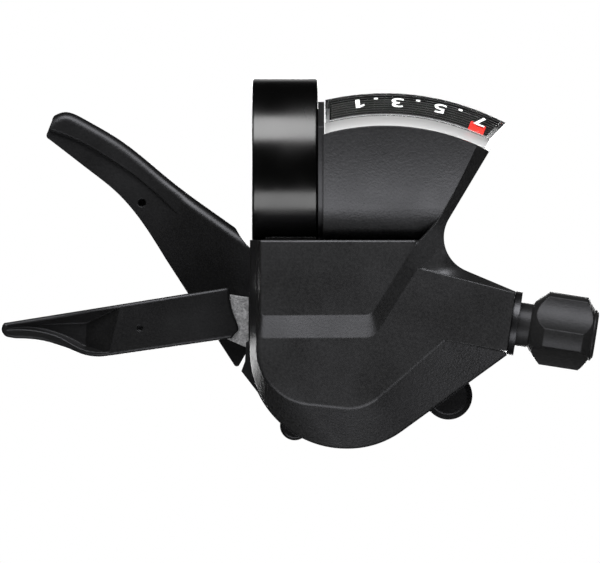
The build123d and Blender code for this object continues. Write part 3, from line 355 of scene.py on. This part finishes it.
def window(name):
    """Clear resin, frosted along the lip at its lower edge, with painted shade darkening the lip towards its
    top; light passes through to the dial.
    """
    material, tree, output, place = new_material(name)
    radius = dial_radius(tree, place)
    lip = ramp(tree, radius, 1, 0, LIP_EDGE_R - LIP_FADE, LIP_EDGE_R)
    frost = noise(tree, place, FROST_SIZE)
    # The lip's frosted grey is its own; its run from dark at its top edge to light lower down is painted shade.
    lip_grey_and_painted_shade = colours(tree, ramp(tree, radius, 1, 0, LIP_IN_R, LIP_EDGE_R), *map(grey, LIP_GREYS_WITH_PAINTED_SHADE))
    shader = add_node(
        tree,
        "ShaderNodeBsdfPrincipled",
        Base_Color=colours(tree, lip, WINDOW_TINT, lip_grey_and_painted_shade),
        Roughness=ramp(tree, lip, WINDOW_ROUGHNESS, LIP_ROUGHNESS),
        Transmission_Weight=ramp(tree, lip, 1.0, LIP_TRANSMISSION),
        Normal=softened(tree, frost, FROST_BUMP, FINE_DEPTH, WINDOW_EDGE),
        IOR=WINDOW_IOR,
    )
    clear = add_node(tree, "ShaderNodeBsdfTransparent", Color=WINDOW_SHADOW)
    light = tree.nodes.new("ShaderNodeLightPath")
    show(tree, output, blend(tree, light.outputs["Is Shadow Ray"], shader, clear))
    return material


def ink(name, colour):
    """Opaque ink or red moulding with a slightly uneven film."""
    material, tree, output, place = new_material(name)
    film = noise(tree, place, FILM_SIZE)
    thin = (*(FILM_THIN * part for part in colour[:3]), 1)
    shader = add_node(
        tree,
        "ShaderNodeBsdfPrincipled",
        Base_Color=colours(tree, film, thin, colour),
        Roughness=ramp(tree, film, *FILM_ROUGHNESS),
    )
    show(tree, output, shader)
    return material


RESINS = {
    "cover_resin": {
        "greys": (0.001, 0.016), "roughness": 0.38, "grain": 0.4 * MM, "strength": 0.9, "edge": 0.28 * MM
    },
    "case_resin": {
        "greys": (0.0005, 0.006), "roughness": 0.36, "grain": 0.4 * MM, "strength": 0.8, "edge": 0.28 * MM
    },
    "lever_resin": {
        "greys": (0.001, 0.007), "roughness": 0.37, "grain": 0.4 * MM, "strength": 0.8, "edge": 0.28 * MM,
        "gloss": 0.34,
    },
    "knob_resin": {
        "greys": (0.003, 0.016), "roughness": 0.42, "grain": 0.4 * MM, "strength": 0.8, "edge": 0.3 * MM,
        "gloss": 0.23,
    },
    "band_paint": {
        "greys": (0.0003, 0.0008), "roughness": 0.23, "grain": 0.3 * MM, "strength": 0.06, "edge": 0.25 * MM,
        "tint": WHITE,
    },
    "grey_resin": {
        "greys": (0.16, 0.2), "roughness": 0.45, "grain": 0.2 * MM, "strength": 0.15, "edge": 0.1 * MM
    },
}
TURNED_METALS = {
    "bright_steel": {
        "dark": (0.5, 0.5, 0.51, 1), "light": (0.64, 0.64, 0.65, 1), "roughness": 0.28, "edge": 0.08 * MM
    },
    "spring_wire": {
        "dark": (0.38, 0.38, 0.39, 1), "light": (0.52, 0.52, 0.53, 1), "roughness": 0.3, "edge": 0.02 * MM
    },
    "black_steel": {
        "dark": (0.03, 0.03, 0.032, 1), "light": (0.06, 0.06, 0.063, 1), "roughness": 0.4, "edge": 0.08 * MM
    },
    "brass": {
        "dark": (0.62, 0.43, 0.16, 1), "light": (0.72, 0.53, 0.22, 1), "roughness": 0.3, "edge": 0.08 * MM
    },
}
PLATING = {
    "dark": (0.22, 0.22, 0.23, 1), "light": (0.64, 0.64, 0.65, 1), "roughness": 0.42, "speckle": 0.22 * MM,
    "edge": 0.1 * MM,
}
FLAG_COLOUR = (0.66, 0.012, 0.005, 1)

FINISHES = {
    **{name: moulded_resin(name, **look) for name, look in RESINS.items()},
    **{name: turned_metal(name, **look) for name, look in TURNED_METALS.items()},
    "plated_steel": plated("plated_steel", **PLATING),
    "lens_clear": window("lens_clear"),
    "dial_black": dial_finish("dial_black"),
    "flag_red": ink("flag_red", FLAG_COLOUR),
}
PRINT_WHITE = ink("print_white", PRINT_COLOUR)

for node in nodes.values():
    for slot in node.material_slots:
        slot.material = FINISHES[slot.material.name]


def cone_point(radius, degrees, inside):
    """Point of the dial at a radius seen from the front, clockwise from the top, inside the window's face."""
    run = CONE_FOOT[0] - CONE_TOP[0]
    drop = CONE_FOOT[1] - CONE_TOP[1]
    length = math.hypot(run, drop)
    share = (radius - CONE_TOP[0] - inside * drop / length) / run
    depth = CONE_TOP[1] + share * drop - inside * run / length
    angle = math.radians(degrees)
    return Vector((DIAL_X + radius * math.sin(angle), -depth, DIAL_Z + radius * math.cos(angle)))


def lay_on_dial(name, mesh, radius, degrees):
    """Bends a flat print, drawn in x and y with z as thickness, to the window's cone, its top to the axis."""
    slope = (CONE_FOOT[0] - CONE_TOP[0]) / math.dist(CONE_TOP, CONE_FOOT)
    for vertex in mesh.vertices:
        across, up, rise = vertex.co
        seen_radius = radius - up * slope
        turn = degrees - math.degrees(across / radius)
        vertex.co = cone_point(seen_radius, turn, PRINT_INSIDE + PRINT_THICK - rise)
    piece = bpy.data.objects.new(name, mesh)
    bpy.context.scene.collection.objects.link(piece)
    mesh.materials.clear()
    mesh.materials.append(PRINT_WHITE)
    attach(piece, "housing")


def flat_print(name, corners):
    """A flat print of the corners given, with its full thickness."""
    build = bmesh.new()
    face = build.faces.new([build.verts.new((x, y, 0)) for x, y in corners])
    raised = bmesh.ops.extrude_face_region(build, geom=[face])
    for part in raised["geom"]:
        if isinstance(part, bmesh.types.BMVert):
            part.co.z = PRINT_THICK
    bmesh.ops.recalc_face_normals(build, faces=build.faces)
    mesh = bpy.data.meshes.new(name)
    build.to_mesh(mesh)
    build.free()
    return mesh


def digit_mesh(text):
    """One numeral, centred on its middle; from the font it is fitted to the digit's width and height."""
    if text == "1":
        return flat_print("numeral", [(x * DIGIT_WIDTH, y * DIGIT_HEIGHT) for x, y in NUMERAL_ONE])
    curve = bpy.data.curves.new("numeral", "FONT")
    curve.body = text
    curve.offset = FONT_WEIGHT
    curve.resolution_u = FONT_STEPS
    curve.extrude = FONT_THICK
    holder = bpy.data.objects.new("numeral", curve)
    bpy.context.scene.collection.objects.link(holder)
    mesh = bpy.data.meshes.new_from_object(holder.evaluated_get(bpy.context.evaluated_depsgraph_get()))
    bpy.data.objects.remove(holder)
    corners = [vertex.co for vertex in mesh.vertices]
    low = [min(corner[axis] for corner in corners) for axis in range(3)]
    high = [max(corner[axis] for corner in corners) for axis in range(3)]
    sizes = (DIGIT_WIDTH, DIGIT_HEIGHT, PRINT_THICK)
    origin = (0.5, 0.5, 0)
    for vertex in mesh.vertices:
        for axis in range(3):
            share = (vertex.co[axis] - low[axis]) / (high[axis] - low[axis])
            vertex.co[axis] = (share - origin[axis]) * sizes[axis]
    return mesh


def dot_mesh():
    """A small bar between two numerals."""
    wide = DOT_SIZE[0] / 2
    high = DOT_SIZE[1] / 2
    return flat_print("dial_dot", [(-wide, -high), (wide, -high), (wide, high), (-wide, high)])


for text, degrees in DIGITS.items():
    lay_on_dial("dial_digit_" + text, digit_mesh(text), DIGIT_R, degrees)
for number, degrees in enumerate(DOTS, 1):
    lay_on_dial(f"dial_dot_{number}", dot_mesh(), DOT_R, degrees)


def add_lamp(name, elevation, height, power):
    """A soft box that faces the object, at an elevation from the camera's line; the camera doesn't see it."""
    lamp = bpy.data.lights.new(name, "AREA")
    lamp.shape = "RECTANGLE"
    lamp.size = LAMP_WIDTH
    lamp.size_y = height
    lamp.energy = power
    holder = bpy.data.objects.new(name, lamp)
    angle = math.radians(elevation)
    away = Vector((0, -math.cos(angle), math.sin(angle)))
    holder.location = Vector((FRAME_CENTRE[0], 0, FRAME_CENTRE[1])) + away * LAMP_DISTANCE
    holder.rotation_mode = "QUATERNION"
    holder.rotation_quaternion = away.to_track_quat("Z", "Y")
    holder.visible_camera = False
    bpy.context.scene.collection.objects.link(holder)


def add_floor():
    """A pale floor under the object; the lower lamp shines through it, and gloss doesn't show it."""
    mesh = bpy.data.meshes.new("floor")
    half = FLOOR_HALF
    corners = [(-half, -half, FLOOR_Z), (half, -half, FLOOR_Z), (half, half, FLOOR_Z), (-half, half, FLOOR_Z)]
    mesh.from_pydata(corners, [], [(0, 1, 2, 3)])
    floor = bpy.data.objects.new("floor", mesh)
    bpy.context.scene.collection.objects.link(floor)
    material, tree, output, place = new_material("floor")
    mottle = noise(tree, place, FLOOR_MOTTLE)
    shader = add_node(
        tree,
        "ShaderNodeBsdfPrincipled",
        Base_Color=colours(tree, mottle, *map(grey, FLOOR_GREYS)),
        Roughness=FLOOR_ROUGHNESS,
        Specular_IOR_Level=FLOOR_GLOSS,
    )
    show(tree, output, shader)
    mesh.materials.append(material)
    floor.visible_shadow = False
    floor.visible_glossy = False


def set_world():
    """A dim studio, with a white background for the camera, and for gloss and glass behind the object."""
    world = bpy.data.worlds.new("studio")
    bpy.context.scene.world = world
    world.use_nodes = True
    tree = world.node_tree
    tree.nodes.clear()
    light = tree.nodes.new("ShaderNodeLightPath")
    direction = tree.nodes.new("ShaderNodeTexCoord").outputs["Generated"]
    away = add_node(tree, "ShaderNodeSeparateXYZ", Vector=direction).outputs["Y"]
    behind = ramp(tree, away, 0, 1, *BACKDROP_FADE)
    mirrored = maths(tree, "MAXIMUM", light.outputs["Is Glossy Ray"], light.outputs["Is Transmission Ray"])
    mirrored_behind = maths(tree, "MULTIPLY", mirrored, behind)
    shown = maths(tree, "MAXIMUM", light.outputs["Is Camera Ray"], mirrored_behind)
    dim = add_node(tree, "ShaderNodeBackground", Color=WHITE, Strength=AMBIENT)
    white = add_node(tree, "ShaderNodeBackground", Color=WHITE, Strength=1.0)
    output = tree.nodes.new("ShaderNodeOutputWorld")
    show(tree, output, blend(tree, shown, dim, white))


def add_camera():
    """A long lens square on to the front, framed as the photograph is."""
    camera = bpy.data.cameras.new("camera")
    camera.sensor_width = SENSOR
    camera.lens = SENSOR * CAMERA_DISTANCE / FRAME_WIDTH
    camera.clip_end = CAMERA_REACH
    holder = bpy.data.objects.new("camera", camera)
    holder.location = (FRAME_CENTRE[0], FRAME_PLANE_Y - CAMERA_DISTANCE, FRAME_CENTRE[1])
    holder.rotation_euler = (math.radians(90), 0, 0)
    bpy.context.scene.collection.objects.link(holder)
    bpy.context.scene.camera = holder


for name, settings in LAMPS.items():
    add_lamp(name, **settings)
add_floor()
set_world()
add_camera()
bpy.context.scene.view_settings.view_transform = "Standard"
